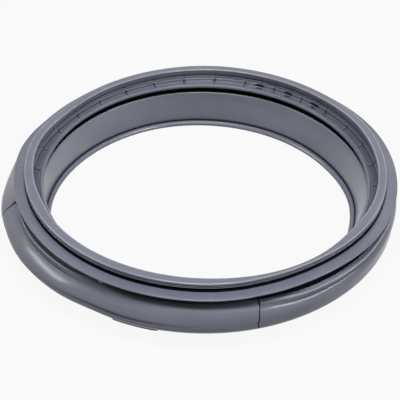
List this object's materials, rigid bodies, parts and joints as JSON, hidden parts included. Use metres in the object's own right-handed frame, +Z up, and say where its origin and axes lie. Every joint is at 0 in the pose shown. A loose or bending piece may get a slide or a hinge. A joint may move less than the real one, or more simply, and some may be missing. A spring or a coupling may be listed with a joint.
{
  "type": "washing machine door seal",
  "caption": "Round moulded rubber door seal with a grooved mounting flange, a slotted water channel, a ridged bellows fold and a flared throat.",
  "frame": {"origin": "middle of the ring's outline, on the flat face that it lies on", "axes": "+Z up along the ring's axis, out of the grooved face; +X towards the side that the upper part is pushed to"},
  "size_m": [0.387, 0.3852, 0.064],
  "materials": {
    "rubber": "satin mid grey moulded rubber"
  },
  "bodies": {
    "root": {"door_seal": "rubber"}
  },
  "joints": []
}
